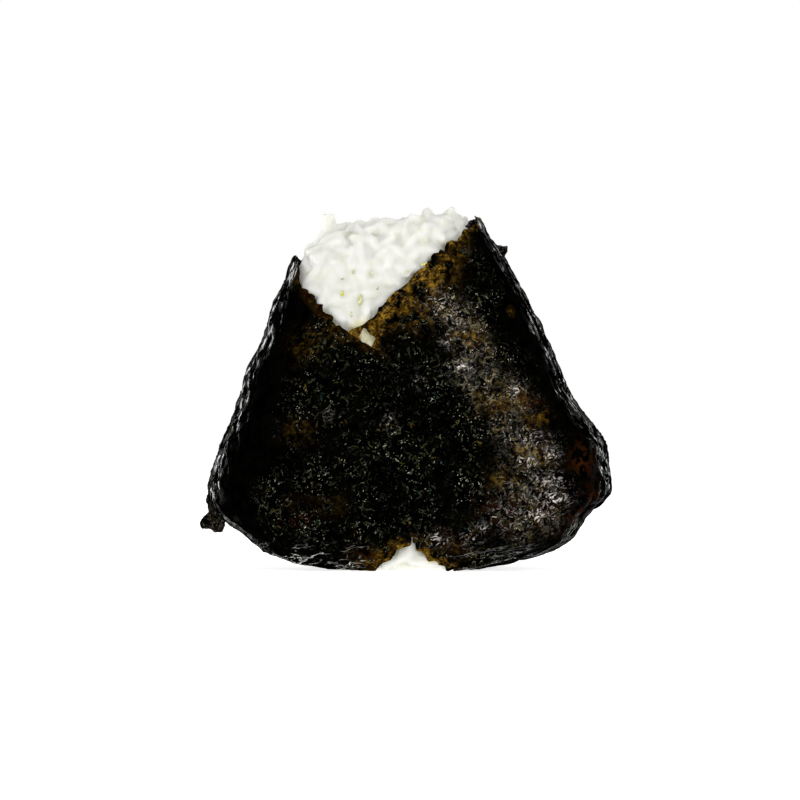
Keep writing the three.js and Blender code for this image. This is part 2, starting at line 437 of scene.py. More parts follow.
def sheet_outside(turn, rise):
    """Signed distance outside the sheet for a grid of turns and rises."""
    points = body_surface(turn, rise, SHEET_INSET)
    x, y, z = np.moveaxis(points, -1, 0)
    under_foot = (rise < 0) & (y >= GAP_REACH_Y)
    left = np.where(under_foot, WELL_INSIDE, left_flap_outside(x, z))
    right = np.where(under_foot, WELL_INSIDE, right_flap_outside(x, z))
    past_left = (turn > math.radians(LEFT_FRONT_DEGREES)) & (x > GAP_LEFT_FOOT[0])
    past_right = turn < math.radians(RIGHT_FRONT_DEGREES)
    left = np.where((rise < FOOT_RISE) & past_left, WELL_OUTSIDE, left)
    right = np.where((rise < FOOT_RISE) & past_right, WELL_OUTSIDE, right)
    torn = -outline_outside(x, z, TEAR)
    right = np.maximum(right, np.where(torn > -3, torn, -3.0))
    outside = np.where(turn > -math.pi, left, np.where(turn < -2 * math.pi, right, back_outside(x, z)))
    calm = 1 - 0.75 * smooth(np.abs(torn), 1.5, 0.5)
    calm = calm * (1 - 0.6 * smooth(np.hypot(x - CROSSING[0], z - CROSSING[1]), 3.5, 1.5))
    return outside + layered_noise(points, TORN_EDGE) * calm


def trimmed(u, v, outside):
    """A grid's coordinates with its outline's points pulled onto the edge, and which points stay."""
    new_u, new_v = u.copy(), v.copy()
    keep = outside <= 0
    best = np.full(u.shape, 2.0)
    rows, columns = u.shape
    for dr, dc in ((0, 1), (0, -1), (1, 0), (-1, 0), (1, 1), (1, -1), (-1, 1), (-1, -1)):
        r0, r1 = max(0, -dr), rows - max(0, dr)
        c0, c1 = max(0, -dc), columns - max(0, dc)
        here = (slice(r0, r1), slice(c0, c1))
        there = (slice(r0 + dr, r1 + dr), slice(c0 + dc, c1 + dc))
        share = outside[here] / np.maximum(outside[here] - outside[there], 1e-9)
        good = (outside[here] > 0) & (outside[there] <= 0) & (share < best[here])
        weight = np.where(good, share, 0.0)
        new_u[here] = np.where(good, u[here] + (u[there] - u[here]) * weight, new_u[here])
        new_v[here] = np.where(good, v[here] + (v[there] - v[here]) * weight, new_v[here])
        best[here] = np.where(good, share, best[here])
        keep[here] |= good
    return new_u, new_v, keep


def thin_piece(name, placed, keep, masks, finish, thickness):
    """A thin piece from a grid of points in body millimetres, with its masks for the finish."""
    rows, columns = keep.shape
    mesh = bmesh.new()
    bmesh.ops.create_grid(mesh, x_segments=columns - 1, y_segments=rows - 1, size=1.0)
    spots = spots_of(mesh)
    column = np.rint((spots[:, 0] + 1) / 2 * (columns - 1)).astype(int)
    row = np.rint((spots[:, 1] + 1) / 2 * (rows - 1)).astype(int)
    set_spots(mesh, placed[row, column])
    for mask, values in masks.items():
        layer = mesh.verts.layers.float.new(mask)
        for vert, value in zip(mesh.verts, values[row, column]):
            vert[layer] = float(value)
    stays = keep[row, column]
    gone = [vert for vert, kept in zip(mesh.verts, stays) if not kept]
    bmesh.ops.delete(mesh, geom=gone, context="VERTS")
    loose = [vert for vert in mesh.verts if not vert.link_faces]
    bmesh.ops.delete(mesh, geom=loose, context="VERTS")
    data = mesh_data(name, mesh)
    piece = new_piece(name, data, "nori", finish)
    thick = piece.modifiers.new("sheet_thickness", "SOLIDIFY")
    thick.thickness = thickness * MM
    thick.offset = 0.0
    thick.use_even_offset = False


# Where the slopes are pressed in: middle height, reach and depth.
RIGHT_TUCKS = ((2.5, 3.0, 0.75), (11.0, 4.0, 2.7), (39.0, 5.0, 0.9), (77.0, 7.5, 1.2))
LEFT_TUCKS = ((7.5, 3.5, 1.25), (36.0, 4.0, 0.6), (50.0, 4.0, 0.8), (66.0, 7.0, 1.0))


def pressed_in(z, tucks):
    return sum(depth * np.exp(-(((z - middle) / reach) ** 2)) for middle, reach, depth in tucks)


def sheet_relief(points, turn, rise, bumps, edge, doubled):
    """How far the sheet stands off the body, in millimetres."""
    z = points[..., 2]
    side = smooth(np.abs(np.cos(turn)), 0.62, 0.93)
    waves = layered_noise(points, SHEET_WAVES)
    grains = bumps * (0.4 - 0.26 * doubled)
    arc = turn * MM_PER_RADIAN
    streaks = np.stack([arc + 0.35 * z, 0 * arc, z * 0.16], axis=-1)
    ridge = 1 - np.abs(noise_at(streaks, 2.6, 13)) * 2.2
    fine_ridge = 1 - np.abs(noise_at(streaks, 1.4, 14)) * 2.2
    wrinkles = side * (0.34 * ridge + 0.36 * fine_ridge) * smooth(rise, 6, 16)
    gathers = np.stack([arc, 0 * arc, rise * 0.3], axis=-1)
    folds = np.stack([rise - 0.35 * np.abs(points[..., 0]), 0 * arc, arc * 0.14], axis=-1)
    gather_ridge = 0.4 - np.abs(noise_at(gathers, 3.0, 15)) * 0.8
    fold_ridge = 0.8 - np.abs(noise_at(folds, 2.4, 19)) * 1.6
    gathered = smooth(rise, 30, 8) * smooth(rise, -1, 5) * 0.5 * (gather_ridge + fold_ridge)
    crackle = (0.09 + 0.2 * side * smooth(rise, 2, 8)) * noise_at(points, 1.6, 16)
    curled = np.exp(-((edge / 1.1) ** 2)) * (0.14 + 0.3 * noise_at(points, 3.3, 17)) * (1 - doubled)
    rest_flat = smooth(rise, 0.0, 4.0)
    toward_right, toward_left = smooth(np.cos(turn), 0.3, 0.9), smooth(-np.cos(turn), 0.3, 0.9)
    tucked = toward_right * pressed_in(z, RIGHT_TUCKS) + toward_left * pressed_in(z, LEFT_TUCKS)
    relief = waves + grains + wrinkles + gathered + crackle - tucked
    return relief * rest_flat + curled * smooth(rise, 2.0, 6.0)


# Places seen from the front: middle x and z, reach in x and z, and strength.
AMBER_PATCHES = (
    (-19.3, 50.8, 4.5, 2.0, 0.24), (-22.5, 48.0, 3.0, 2.6, 0.16), (-24.0, 30.5, 3.5, 2.5, 0.13),
    (-17.0, 15.0, 3.5, 3.0, 0.07), (12.6, 50.6, 3.0, 2.2, 0.6), (19.0, 36.5, 3.2, 2.0, 0.5),
    (24.6, 36.6, 2.4, 1.8, 0.6), (27.8, 32.8, 2.4, 2.0, 0.45), (27.3, 25.4, 3.6, 2.0, 0.55),
    (-8.0, 2.0, 3.0, 2.0, 0.5), (21.7, 56.0, 0.5, 0.8, 0.45), (3.0, 57.0, 5.0, 4.0, 0.45),
    (20.5, 20.0, 3.0, 2.0, 0.35),
)
RUST_PATCHES = (
    (36.8, 24.0, 2.2, 3.6, 0.6), (39.0, 14.0, 2.0, 4.5, 0.4), (33.0, 11.0, 8.0, 3.0, 0.25),
    (-7.5, 2.0, 5.0, 2.5, 0.5), (20.0, 13.0, 5.0, 4.0, 0.3), (-24.0, 13.0, 4.0, 3.0, 0.18),
    (11.0, 7.0, 5.0, 3.0, 0.3), (25.5, 36.2, 2.6, 1.4, 0.5),
)
# Where the sheet glints: white highlights are painted into its colour there, and its coat is wetter.
GLINT_PATCHES = (
    (6.2, 57.5, 2.2, 2.2, 0.75), (10.0, 55.0, 2.6, 2.6, 0.5), (8.4, 49.8, 1.6, 1.6, 0.6),
    (11.2, 44.1, 2.4, 1.3, 1.0), (23.0, 39.2, 1.6, 1.3, 1.0), (22.0, 29.5, 2.0, 1.6, 0.7),
    (26.5, 28.6, 3.6, 1.3, 0.75), (30.0, 25.2, 2.0, 1.6, 0.85), (25.2, 23.8, 2.0, 1.6, 0.9),
    (29.8, 19.8, 3.0, 1.6, 0.9), (31.0, 15.8, 3.2, 2.0, 1.0), (28.0, 12.0, 3.6, 1.8, 0.95),
    (22.5, 13.0, 4.0, 4.0, 0.35), (-37.0, 37.0, 0.8, 0.7, 1.0), (6.4, 7.6, 1.8, 1.4, 0.8),
    (13.5, 7.6, 2.2, 1.4, 0.5), (16.0, 10.0, 1.4, 1.2, 0.6), (-17.4, 34.0, 0.9, 0.9, 0.5),
    (-4.0, 32.5, 1.0, 1.4, 0.5), (2.0, 41.0, 1.2, 1.2, 0.35),
)


def patches_at(x, z, patches):
    total = np.zeros(np.shape(x))
    for middle_x, middle_z, reach_x, reach_z, strength in patches:
        away = ((x - middle_x) / reach_x) ** 2 + ((z - middle_z) / reach_z) ** 2
        total = np.maximum(total, strength * np.exp(-away))
    return total


def sheet_masks(points, turn, rise, edge):
    """What the finish reads at each point: shares from 0 to 1, and edge, arc and rise in millimetres."""
    x, z = points[..., 0], points[..., 2]
    front = smooth(-np.sin(turn), 0.0, 0.3)
    right_flap = (turn < -2 * math.pi) * front
    left_flap = (turn > -math.pi) * front
    below_right = -right_top(x, z)
    waver = 1 + 0.5 * noise_at(points, 6.0, 51)
    band = smooth(below_right, 9.5 * waver, 1.0) * smooth(x, 15.0, 5.0) * right_flap
    opening = np.where(left_flap > 0, -left_top(x, z), below_right)
    torn = outline_outside(x, z, TEAR)
    by_opening = smooth(opening, 2.4, 0.2) * (opening > -2) * smooth(z, 44.0, 50.0)
    by_opening = by_opening * (0.75 - 0.6 * left_flap)
    by_tear = smooth(torn, 2.4, 0.3) * right_flap * 0.9
    foot_edge = smooth(edge, 3.2, 0.3) * smooth(z, 9.0, 5.0) * (np.abs(x) < 14) * 0.9
    amber = np.maximum(band, patches_at(x, z, AMBER_PATCHES) * front)
    amber = np.maximum(np.maximum(amber, by_tear), np.maximum(by_opening * front, foot_edge * front))
    rust = np.maximum(patches_at(x, z, RUST_PATCHES) * front, 0.8 * by_opening * left_flap)
    share = x / half_width(z, RIGHT_SLOPE, 0.0)
    drift = 0.12 * noise_at(points, 11.0, 52)
    # Where sheen is painted: a band down the right of the front, given a paler olive-brown haze with paler
    # flakes and flecks.
    leaning = share + drift - 0.006 * (49.0 - z)
    painted_sheen = smooth(leaning, 0.20, 0.34) * smooth(leaning, 0.67, 0.54)
    painted_sheen = painted_sheen * smooth(z, 3.0, 12.0) * smooth(z, 63.0, 54.0) * front
    painted_sheen = painted_sheen * (0.35 + 0.65 * smooth(noise_at(points, 4.5, 53), -0.28, 0.10))
    glint = np.maximum(patches_at(x, z, GLINT_PATCHES), 0.12 * painted_sheen) * front
    toward_side = np.abs(np.cos(turn))
    fibrous = np.maximum(smooth(np.abs(share + drift), 0.84, 0.62), smooth(toward_side, 0.95, 0.99))
    fibrous = np.maximum(fibrous, 0.8 * smooth(np.sin(turn), 0.0, 0.3))
    sleek = smooth(toward_side, 0.79, 0.87) * (1 - 0.65 * smooth(toward_side, 0.94, 0.99))
    # Where thin pale lines are painted near the slopes' outline as streak highlights.
    rim_streak_highlight = smooth(toward_side, 0.80, 0.89) * (0.6 - 0.5 * smooth(toward_side, 0.93, 0.985))
    # Where thin pale lines are painted round the foot as streak highlights, stronger on the left.
    low = smooth(z, 7.0, 2.5) * smooth(np.abs(x), 6.0, 12.0) * np.where(x < 0, 1.0, 0.4)
    return {"edge": edge, "amber": amber, "rust": rust, "painted_sheen": painted_sheen, "glint": glint, "fibrous": fibrous,
            "sleek": sleek, "rim_streak_highlight": rim_streak_highlight, "low": low, "arc": turn * MM_PER_RADIAN, "rise": rise}


def nori_sheet(finish):
    turn, rise = np.meshgrid(column_turns(), row_rises())
    outside = sheet_outside(turn, rise)
    turn, rise, keep = trimmed(turn, rise, outside)
    edge = np.maximum(0.0, -outside)
    points = body_surface(turn, rise, SHEET_INSET)
    normals = surface_normals(turn, np.maximum(rise, -5.0), SHEET_INSET)
    bumps = grain_bumps(points.reshape(-1, 3), hidden_grains()).reshape(turn.shape)
    x, z = points[..., 0], points[..., 2]
    over = (turn > -math.pi) * (np.sin(turn) < 0)
    under = (turn < -2 * math.pi) * (np.sin(turn) < 0)
    beneath = smooth(-right_flap_outside(x, z), -5.5, -1.8)
    doubled = beneath * smooth(-left_flap_outside(x, z), -2.5, 0.0) * (over + under)
    relief = sheet_relief(points, turn, rise, bumps, edge, doubled) + beneath * over * LAP
    placed = points + normals * relief[..., None]
    placed[..., 2] = np.maximum(placed[..., 2], SHEET_THICKNESS * 0.5 + 0.02)
    placed[..., 2] += np.where((rise < 0) & (turn < -math.pi), SHEET_THICKNESS * 1.3, 0.0)
    masks = sheet_masks(points, turn, rise, edge)
    masks["grain"] = bumps
    thin_piece("nori_sheet", placed, keep, masks, finish, SHEET_THICKNESS)


SCRAP_MARGIN = 0.8


def nori_scrap(name, outline, pitch, lie, finish, seed):
    """A small torn piece of the sheet seen from the front; lie gives y at each x and z."""
    xs, zs = zip(*outline)
    spans = [(min(spots) - SCRAP_MARGIN, max(spots) + SCRAP_MARGIN) for spots in (xs, zs)]
    x, z = np.meshgrid(*[np.arange(low, high, pitch) for low, high in spans])
    flat = np.stack([x, 0 * x, z], axis=-1)
    outside = outline_outside(x, z, outline) + 0.28 * noise_at(flat, 0.9, seed)
    x, z, keep = trimmed(x, z, outside)
    placed = np.stack([x, lie(x, z) + 0.5 * noise_at(flat, 1.6, seed + 1), z], axis=-1)
    none = np.zeros(x.shape)
    masks = {"edge": np.maximum(0.0, -outside), "amber": none + 0.03, "rust": none + 0.03, "painted_sheen": none,
             "glint": none + 0.1, "grain": none, "fibrous": none + 0.6, "sleek": none + 0.5,
             "rim_streak_highlight": none, "low": none, "arc": x, "rise": z}
    thin_piece(name, placed, keep, masks, finish, SHEET_THICKNESS * 1.4)


def tag_lie(x, z):
    return TAG_Y + 0.9 * np.sin(x * 1.3 + z * 0.7) + 0.105 * np.maximum(0.0, z - 12.0)


def curl_lie(x, z):
    return CURL_Y + 0.8 * np.sin(z * 1.4) - 0.25 * (x - 20.0)


def tip_bit_lie(x, z):
    return TIP_BIT_Y + 0.5 * (x - 13.5) + 0 * z


def nori_scraps(finish):
    nori_scrap("nori_tag", TAG, 0.22, tag_lie, finish, 61)
    nori_scrap("nori_curl", CURL, 0.22, curl_lie, finish, 64)
    nori_scrap("nori_tip_bit", TIP_BIT, 0.2, tip_bit_lie, finish, 67)


# --- the rice


def top_drop(x, z):
    """How far the rice's rounded top lies under its greatest height at each x."""
    level = np.interp(x, [spot[0] for spot in TOP_LEVEL], [spot[1] for spot in TOP_LEVEL])
    return (RICE_TOP_Z - level) * smooth(z, 60.0, 75.0)


def rice_body(inset):
    """The pressed rice as a closed mesh, standing a little back where the sheet covers it."""
    mesh = bmesh.new()
    bmesh.ops.create_uvsphere(mesh, u_segments=144, v_segments=96, radius=1.0)
    spots = spots_of(mesh)
    turn = np.arctan2(spots[:, 1], spots[:, 0])
    polar = np.arccos(np.clip(-spots[:, 2], -1, 1)) / math.pi
    z = inset * 0.6 + (RICE_TOP_Z - inset * 1.6) * (1 - np.cos(polar * math.pi)) / 2
    shrink = np.minimum(crown(z + inset), np.sin(np.clip(polar * 9, 0, math.pi / 2)))
    points = section_point(turn, z, inset, shrink)
    outward = points * np.array([0.35, 1.0, 0.0])
    outward /= np.maximum(np.linalg.norm(outward, axis=1, keepdims=True), 1e-6)
    bare = np.array([smooth(bare_depth(point), -1.0, 3.0) for point in points])
    points += outward * (layered_noise(points, RICE_LUMPS) * bare - 1.1 * (1 - bare))[:, None]
    points[:, 2] -= top_drop(points[:, 0], points[:, 2])
    set_spots(mesh, points)
    bmesh.ops.recalc_face_normals(mesh, faces=mesh.faces[:])
    return mesh


def rice_core(finish):
    data = mesh_data("rice_core", rice_body(CORE_INSET))
    new_piece("rice_core", data, "rice", finish)


def keep_side(mesh, spot, facing):
    """Cuts a closed mesh flat and keeps what lies behind the cut, with the cut closed."""
    everything = mesh.verts[:] + mesh.edges[:] + mesh.faces[:]
    cut = bmesh.ops.bisect_plane(mesh, geom=everything, plane_co=to_frame(spot), plane_no=facing,
                                 clear_outer=True)
    rim = [piece for piece in cut["geom_cut"] if isinstance(piece, bmesh.types.BMEdge)]
    bmesh.ops.contextual_create(mesh, geom=rim)


def pressed_block(name, cuts, grains, finish):
    """Part of the pressed rice with its grains, all fused into one skin."""
    mesh = rice_body(BARE_INSET)
    for spot, facing in cuts:
        keep_side(mesh, spot, facing)
    loose = bpy.data.meshes.new("loose_grains")
    points, polygons = grains
    loose.from_pydata(to_frame(np.concatenate(points)).tolist(), [], polygons)
    mesh.from_mesh(loose)
    bpy.data.meshes.remove(loose)
    piece = new_piece(name, mesh_data(name, mesh), "rice", finish)
    fused = piece.modifiers.new("fused_grains", "REMESH")
    fused.mode = "VOXEL"
    fused.voxel_size = FUSING * MM
    fused.use_smooth_shade = True
    soft = piece.modifiers.new("soft_valleys", "SMOOTH")
    soft.factor = 0.5
    soft.iterations = 3


def base_grain():
    """One cooked grain, a unit long and wide: plump, blunt, a little flat."""
    mesh = bmesh.new()
    bmesh.ops.create_uvsphere(mesh, u_segments=8, v_segments=7, radius=0.5)
    bmesh.ops.rotate(mesh, verts=mesh.verts[:], matrix=Matrix.Rotation(math.pi / 2, 3, "Y"))
    for vert in mesh.verts:
        along = vert.co.x * 2
        full = (1 - abs(along) ** 3.0) ** 0.5 if abs(along) < 1 else 0.0
        around = Vector((0, vert.co.y, vert.co.z))
        if around.length > 1e-6:
            around = around.normalized() * 0.5 * full
        vert.co = Vector((along / 2, around.y, around.z * 0.9))
    spots = spots_of(mesh)
    faces = [[vert.index for vert in face.verts] for face in mesh.faces]
    mesh.free()
    return spots, faces


def grain_at(rng, spots, centre, axes, length, width):
    """A grain's points: stretched, bent and set down."""
    along, side, up = axes
    shaped = spots * np.array([length, width, width * rng.uniform(0.82, 1.0)])
    shaped[:, 1] += rng.uniform(-0.18, 0.18) * (shaped[:, 0] ** 2) / length
    taper = 1 + rng.uniform(-0.16, 0.16) * shaped[:, 0] / length * 2
    shaped[:, 1] *= taper
    shaped[:, 2] *= taper
    placed = shaped @ np.array([along[:], side[:], up[:]]) + np.array(centre)
    placed[:, 2] += max(0.0, 0.08 - placed[:, 2].min())
    return placed


def top_spots(rng):
    """Spots a spacing apart over the flat top."""
    rim_z = RICE_TOP_Z - 1.2
    kept = []
    for _ in range(TOP_TRIES):
        turn = rng.uniform(0, 2 * math.pi)
        share = math.sqrt(rng.random())
        edge = section_point(turn, rim_z, GRAIN_INSET) * float(crown(rim_z))
        spot = np.array([edge[0] * share, edge[1] * share, RICE_TOP_Z - GRAIN_INSET - 0.4 * share])
        spot[2] -= float(top_drop(spot[0], spot[2]))
        if all(np.linalg.norm(spot[:2] - other[:2]) >= GRAIN_SPACING for other in kept):
            kept.append(spot)
    return kept


# Grains that stick up out of the top: middle x, y, z and lean to the right.
STANDING_GRAINS = (
    (-18.0, -6.4, 74.9, -0.25), (-17.4, -6.0, 74.8, 0.2), (7.6, -5.0, 76.4, 0.75), (3.0, 3.0, 75.0, 1.2),
    (9.0, -6.5, 76.4, 0.15), (11.2, -3.0, 74.8, 0.5), (-1.0, -7.0, 75.6, 1.4),
)

# Grains pressed out of the gap at the foot: middle x, y, z and turn seen from the front.
FOOT_GRAINS = (
    (-5.6, -10.8, 1.3, 0.1), (-1.2, -12.0, 1.35, -0.15), (3.4, -12.2, 1.35, 0.2), (7.6, -11.4, 1.3, -0.1),
    (-3.6, -13.2, 2.4, 0.5), (1.2, -13.8, 2.6, -0.3), (5.6, -13.2, 2.2, 0.1), (-0.8, -14.4, 4.2, 0.8),
    (2.2, -14.2, 3.6, -0.7), (0.4, -14.8, 5.4, 1.2), (-2.4, -10.2, 1.2, 0.0), (5.2, -10.4, 1.2, 0.0),
)


class GrainHeap:
    """Grains set down one by one, kept as the points and faces of one mesh."""

    def __init__(self, seed):
        self.rng = np.random.default_rng(seed)
        self.spots, self.faces = base_grain()
        self.points = []
        self.polygons = []

    def add(self, centre, axes, length=None, width=None):
        length = length or GRAIN_LENGTH * self.rng.uniform(0.8, 1.06)
        width = width or GRAIN_WIDTH * self.rng.uniform(0.86, 1.04)
        start = len(self.points) * len(self.spots)
        self.points.append(grain_at(self.rng, self.spots, centre, axes, length, width))
        self.polygons.extend([[start + corner for corner in face] for face in self.faces])

    def add_leaning(self, centre, across, up, length):
        along = Vector((across, -0.1, up)).normalized()
        side = along.orthogonal().normalized()
        self.add(centre, (along, side, along.cross(side)), length, GRAIN_WIDTH)


def top_grains():
    heap = GrainHeap(23)

    def is_wanted(spot):
        return spot[2] > BLOCK_FLOOR_Z + 3 and bare_depth(spot) > -2.0

    top_rise = SHOULDER_Z * math.pi / 2 + (RICE_TOP_Z - SHOULDER_Z)
    rises = (40, top_rise - 1.0)
    spots = scatter_on_body(heap.rng, GRAIN_TRIES, GRAIN_INSET, GRAIN_SPACING, is_wanted, rises, True)
    for spot, normal in spots:
        covered = 1 - float(smooth(bare_depth(spot), -0.5, 1.8))
        centre = spot - normal * 1.2 * covered
        centre[2] -= float(top_drop(spot[0], spot[2]))
        heap.add(centre, lying_frame(heap.rng, normal, 0.35 * (1 - 0.7 * covered)))
    for centre in top_spots(heap.rng):
        heap.add(centre, lying_frame(heap.rng, Vector((0, 0, 1)), 0.45))
    for x, y, z, lean in STANDING_GRAINS:
        heap.add_leaning((x, y, z), math.sin(lean), math.cos(lean), GRAIN_LENGTH)
    return heap.points, heap.polygons


def foot_grains():
    heap = GrainHeap(29)
    for x, y, z, turn in FOOT_GRAINS:
        heap.add_leaning((x, y, z), math.cos(turn), math.sin(turn), GRAIN_LENGTH * 0.9)
    return heap.points, heap.polygons


# Where the two bare blocks are cut off under the sheet: a point of each cut and its outward direction.
TOP_CUTS = (((0, 0, BLOCK_FLOOR_Z), (0, 0, -1)),)
FOOT_CUTS = (((0, 0, 10), (0, 0, 1)), ((-12, 0, 0), (-1, 0, 0)), ((15, 0, 0), (1, 0, 0)),
             ((0, -4, 0), (0, 1, 0)))


def rice_blocks(finish):
    pressed_block("rice_top", TOP_CUTS, top_grains(), finish)
    pressed_block("rice_foot", FOOT_CUTS, foot_grains(), finish)


# Crumbs on the rice and in the gap: x, z, length, width, turn and how yellow (0 dark, 1 bright).
CRUMBS = (
    (-14.4, 60.1, 1.3, 0.9, 1.2, 1.0), (-10.6, 58.6, 2.4, 1.0, 1.4, 0.55), (-8.1, 64.2, 1.4, 0.7, 1.5, 0.45),
    (-12.0, 64.7, 1.1, 0.6, 1.3, 0.4), (3.2, 66.4, 1.5, 0.8, 0.3, 0.9), (-0.6, 64.7, 1.0, 0.7, 0.5, 0.6),
    (-14.3, 63.2, 0.9, 0.4, 0.2, 0.3), (-6.8, 61.1, 0.8, 0.5, 1.0, 0.35), (5.0, 2.6, 1.3, 0.8, 0.4, 0.5),
    (2.4, 3.6, 0.7, 0.4, 2.0, 0.4), (-12.4, 55.5, 1.2, 0.6, 1.5, 0.35),
)


def front_y(x, z):
    """The body's front face at an x and z."""
    width = half_width(z, RIGHT_SLOPE if x > 0 else LEFT_SLOPE, 0.0) * crown(z)
    share = max(0.0, 1 - abs(x / width) ** SECTION_POWER) ** (1 / SECTION_POWER)
    return -float(half_depth(z, 0.0) * crown(z) * share)


def rice_crumbs(finish):
    mesh = bmesh.new()
    tone = mesh.verts.layers.float.new("tone")
    for x, z, length, width, turn, yellow in CRUMBS:
        crumb = bmesh.ops.create_icosphere(mesh, subdivisions=2, radius=0.5)["verts"]
        y = front_y(x, z)
        for vert in crumb:
            knob = 1 + 0.35 * noise.noise(vert.co * 3.0 + Vector((x, y, z)))
            vert.co = Vector((vert.co.x * length, vert.co.y * 0.7, vert.co.z * width)) * knob
            vert[tone] = yellow
        bmesh.ops.rotate(mesh, verts=crumb, matrix=Matrix.Rotation(-turn, 3, "Y"))
        bmesh.ops.translate(mesh, verts=crumb, vec=(x, y, z))
    for vert in mesh.verts:
        vert.co = to_frame(vert.co)
    data = mesh_data("rice_crumbs", mesh)
    new_piece("rice_crumbs", data, "rice", finish)


# --- finishes


def feed(tree, receiver, inputs):
    """Sets each named input of a node to a value, or links another node's output to it."""
    for name, value in inputs.items():
        socket = receiver.inputs[name]
        if isinstance(value, bpy.types.NodeSocket):
            tree.links.new(value, socket)
        else:
            socket.default_value = (*value, 1.0) if socket.type == "RGBA" else value


def new_node(tree, kind, inputs, output=0, **settings):
    """A new node with its settings and inputs; gives one of its outputs."""
    made = tree.nodes.new("ShaderNode" + kind)
    for name, value in settings.items():
        setattr(made, name, value)
    feed(tree, made, inputs)
    return made.outputs[output]


def new_finish(name):
    finish = bpy.data.materials.new(name)
    finish.use_nodes = True
    tree = finish.node_tree
    tree.nodes.clear()
    output = tree.nodes.new("ShaderNodeOutputMaterial")
    shader = tree.nodes.new("ShaderNodeBsdfPrincipled")
    tree.links.new(shader.outputs["BSDF"], output.inputs["Surface"])
    return finish, tree, shader


def math_node(tree, operation, a, b, clamp=False):
    return new_node(tree, "Math", {0: a, 1: b}, operation=operation, use_clamp=clamp)


def times(tree, a, b):
    return math_node(tree, "MULTIPLY", a, b)


def plus(tree, a, b):
    return math_node(tree, "ADD", a, b)


def most(tree, a, b):
    return math_node(tree, "MAXIMUM", a, b)


def ramp_node(tree, value, low, high, from_value=0.0, to_value=1.0):
    inputs = {0: value, 1: low, 2: high, 3: from_value, 4: to_value}
    return new_node(tree, "MapRange", inputs, interpolation_type="SMOOTHSTEP")


def mix_colour(tree, share, first, second):
    return new_node(tree, "Mix", {0: share, 6: first, 7: second}, 2, data_type="RGBA")


def painted(tree, base, layers):
    """A colour with more colours laid over it, each by its own share."""
    for share, colour in layers:
        base = mix_colour(tree, share, base, colour)
    return base


def object_millimetres(tree):
    """Object coordinates in millimetres."""
    place = new_node(tree, "TexCoord", {}, "Object")
    return new_node(tree, "VectorMath", {0: place, "Scale": 1 / MM}, operation="SCALE")


def turned(tree, vector, angles, stretch):
    """A vector turned first and then stretched along its own new axes."""
    inputs = {"Vector": vector, "Rotation": angles, "Scale": stretch}
    return new_node(tree, "Mapping", inputs, vector_type="TEXTURE")


def noise_node(tree, vector, scale, detail, rough, output="Fac"):
    inputs = {"Vector": vector, "Scale": scale, "Detail": detail, "Roughness": rough}
    return new_node(tree, "TexNoise", inputs, output)


def blotches(tree, vector, scale, detail, rough, *levels):
    """Soft patches: noise cut off between two of its levels."""
    return ramp_node(tree, noise_node(tree, vector, scale, detail, rough), *levels)


def attribute_node(tree, name):
    return new_node(tree, "Attribute", {}, "Fac", attribute_name=name)


def bump_node(tree, height, strength, distance):
    return new_node(tree, "Bump", {"Height": height, "Strength": strength, "Distance": distance * MM})


# The little strokes of the pressed seaweed: their turns, their shape, and how far they reach.
FIBRE_TURNS = ((0.15, 0.3, 0.2), (-0.2, 1.1, 0.1), (0.2, 1.9, -0.1), (-0.1, 2.65, 0.15))
FIBRE_STRETCH = (2.5, 0.55, 0.55)
FIBRE_REACH = (0.34, 0.12)
FIBRE_SOCKETS = (("Vector", "INPUT", "Vector"), ("Density", "INPUT", "Float"),
                 ("Sparseness", "INPUT", "Float"), ("Strokes", "OUTPUT", "Float"))


def fibre_group():
    """Short pressed seaweed fibres: a mask of little strokes in every direction."""
    group = bpy.data.node_groups.new("pressed_fibres", "ShaderNodeTree")
    for name, way, kind in FIBRE_SOCKETS:
        group.interface.new_socket(name, in_out=way, socket_type="NodeSocket" + kind)
    given = group.nodes.new("NodeGroupInput").outputs
    outside = group.nodes.new("NodeGroupOutput")
    total = None
    for angles in FIBRE_TURNS:
        vector = turned(group, given["Vector"], angles, FIBRE_STRETCH)
        inputs = {"Vector": vector, "Scale": given["Density"]}
        distance = new_node(group, "TexVoronoi", inputs, "Distance", feature="F1")
        number = new_node(group, "SeparateColor", {0: distance.node.outputs["Color"]})
        chosen = ramp_node(group, number, given["Sparseness"], 1.0)
        lit = times(group, ramp_node(group, distance, *FIBRE_REACH), chosen)
        total = lit if total is None else most(group, total, lit)
    group.links.new(total, outside.inputs["Strokes"])
    return group


def fibre_node(tree, group, vector, density, sparseness):
    inputs = {"Vector": vector, "Density": density, "Sparseness": sparseness}
    return new_node(tree, "Group", inputs, "Strokes", node_tree=group)


def crease_lines(tree, flat, lean, stretch):
    """Thin broken lines along the sheet's folds, as a mask for painted streak highlights."""
    vector = turned(tree, flat, (0, 0, lean), stretch)
    wander = math_node(tree, "SUBTRACT", noise_node(tree, vector, 1.0, 2.0, 0.5), 0.5)
    line = ramp_node(tree, math_node(tree, "ABSOLUTE", wander, 0.0), 0.026, 0.006)
    broken = blotches(tree, turned(tree, vector, (0, 0, 1.0), (2.2, 2.2, 2.2)), 1.0, 2.0, 0.5, 0.50, 0.60)
    return times(tree, line, broken)


def warped(tree, vector, scale, amount):
    """A vector pushed about by soft noise."""
    push = noise_node(tree, vector, scale, 2.0, 0.5, "Color")
    centred = new_node(tree, "VectorMath", {0: push, 1: (0.5, 0.5, 0.5)}, operation="SUBTRACT")
    inputs = {0: centred, 1: (amount, amount, amount), 2: vector}
    return new_node(tree, "VectorMath", inputs, operation="MULTIPLY_ADD")
